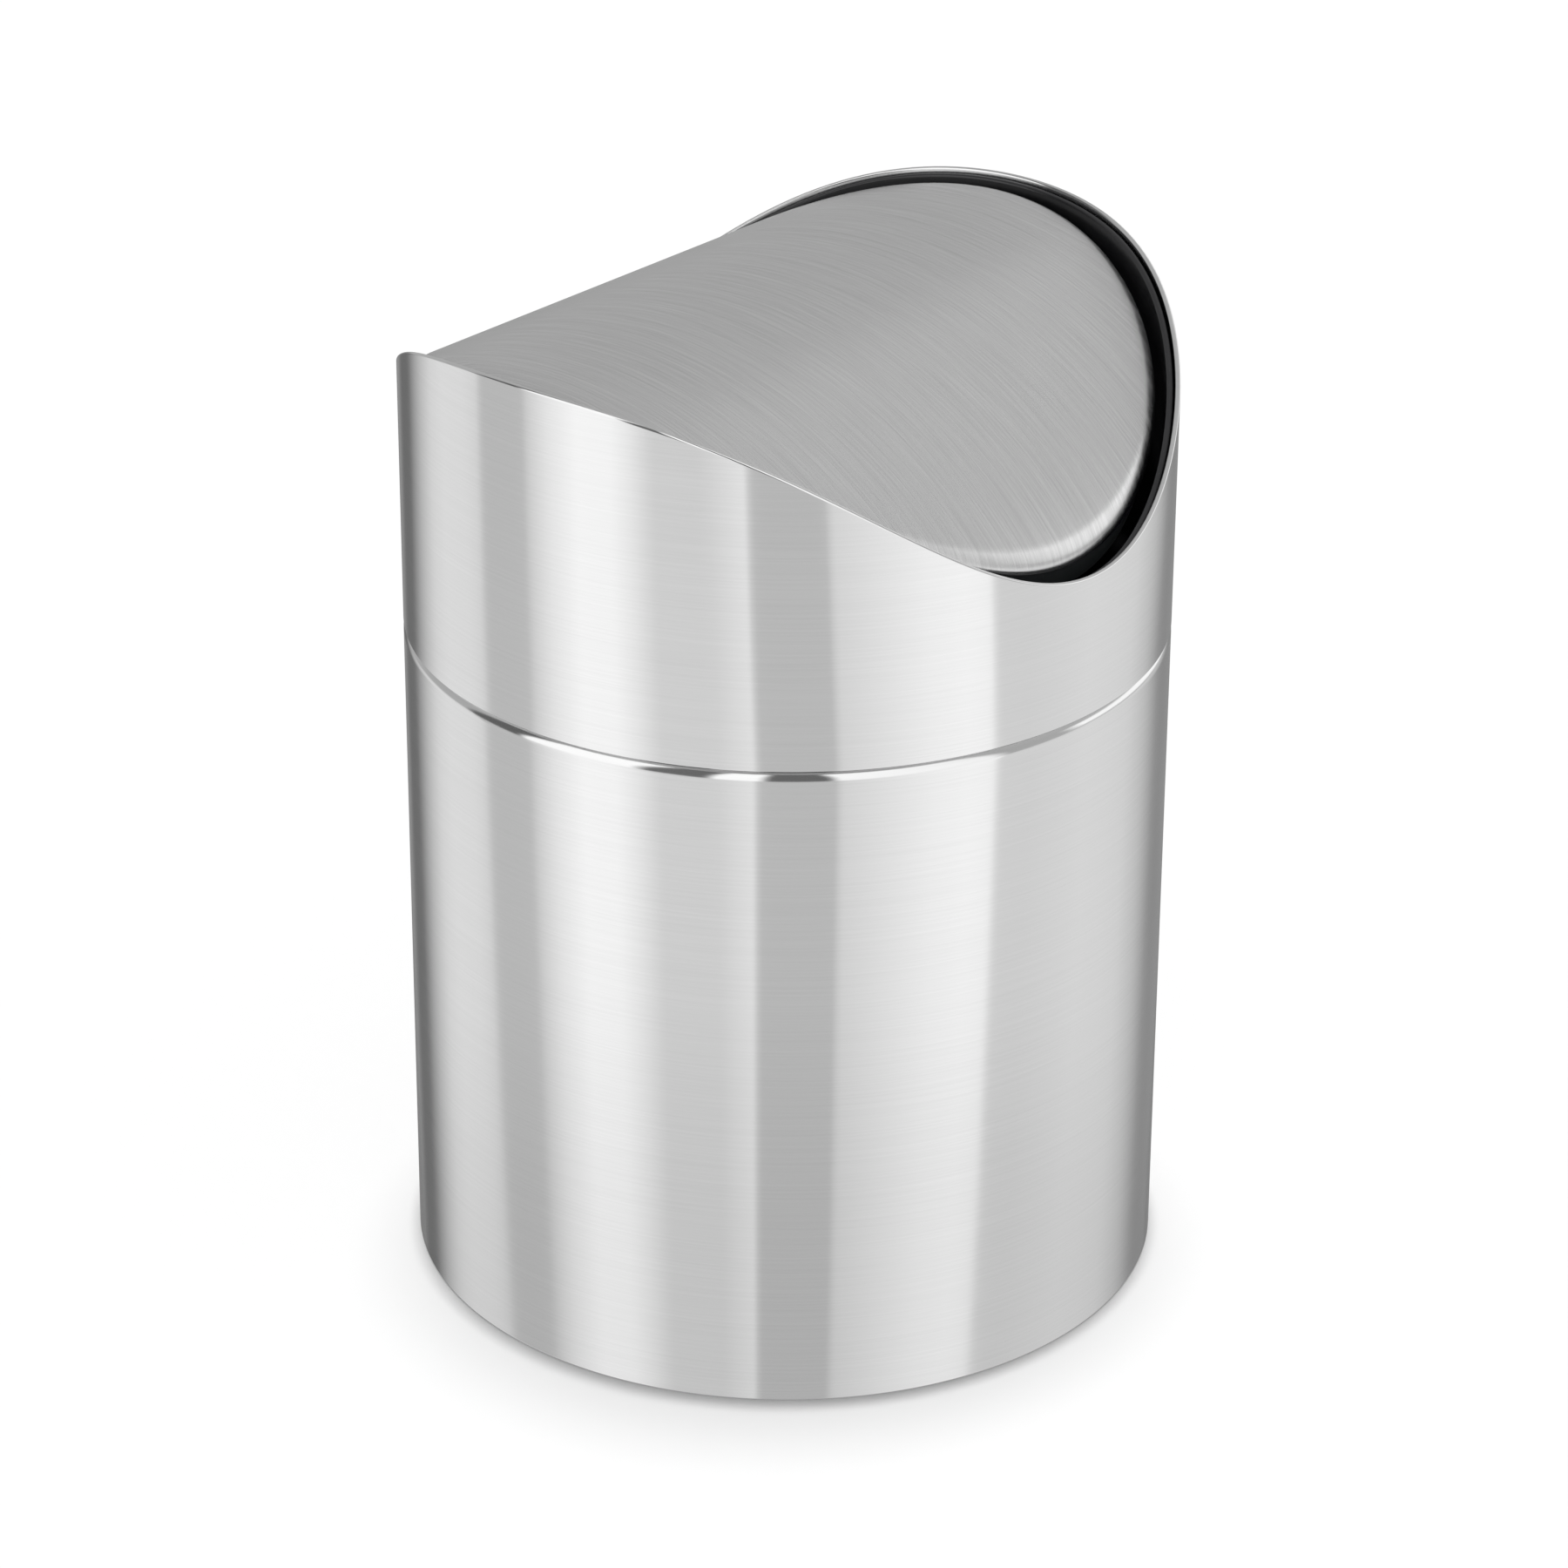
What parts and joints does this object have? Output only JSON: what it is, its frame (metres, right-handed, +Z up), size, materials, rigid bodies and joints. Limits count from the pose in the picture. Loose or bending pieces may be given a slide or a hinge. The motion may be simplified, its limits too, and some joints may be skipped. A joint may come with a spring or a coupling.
{
  "type": "swing-lid table waste bin",
  "caption": "Small round waste bin in brushed steel with a lift-off saddle-cut collar and an arched, self-closing swing flap.",
  "frame": {"origin": "middle of the underside, on the surface that the bin stands on", "axes": "+Z up; the flap's arch and its pivot axis run along Y, front at -Y and rear at +Y; the low sides of the saddle-cut rim are at -X and +X"},
  "size_m": [0.12, 0.12, 0.163],
  "materials": {
    "brushed_steel": "brushed round the body, satin",
    "flap_steel": "brushed across the arch, satin",
    "pan_steel": "pressed, dull",
    "black_plastic": "gloss moulded",
    "acetal": "moulded, low sheen",
    "foam_pad": "matt cellular",
    "pin_steel": "bright turned",
    "weight_steel": "plain, oiled"
  },
  "bodies": {
    "bin": {"body_shell": "brushed_steel", "base_pan": "pan_steel", "base_pad": "foam_pad"},
    "lid": {"collar_shell": "brushed_steel", "collar_liner": "black_plastic", "pivot_bush_front": "acetal", "pivot_bush_rear": "acetal"},
    "flap": {"flap_skin": "flap_steel", "flap_tray": "black_plastic", "pivot_pin_front": "pin_steel", "pivot_pin_rear": "pin_steel", "counterweight_front": "weight_steel", "counterweight_rear": "weight_steel", "counterweight_screw_front": "pin_steel", "counterweight_screw_rear": "pin_steel"}
  },
  "joints": [
    {"name": "lid_lift", "type": "slide", "parent": "bin", "child": "lid", "axis": [0, 0, 1], "range_m": [0, 0.06]},
    {"name": "flap_swing", "type": "hinge", "parent": "lid", "child": "flap", "pos_m": [0, 0, 0.1537], "axis": [0, 1, 0], "range_deg": [-82.25, 77.75]}
  ]
}
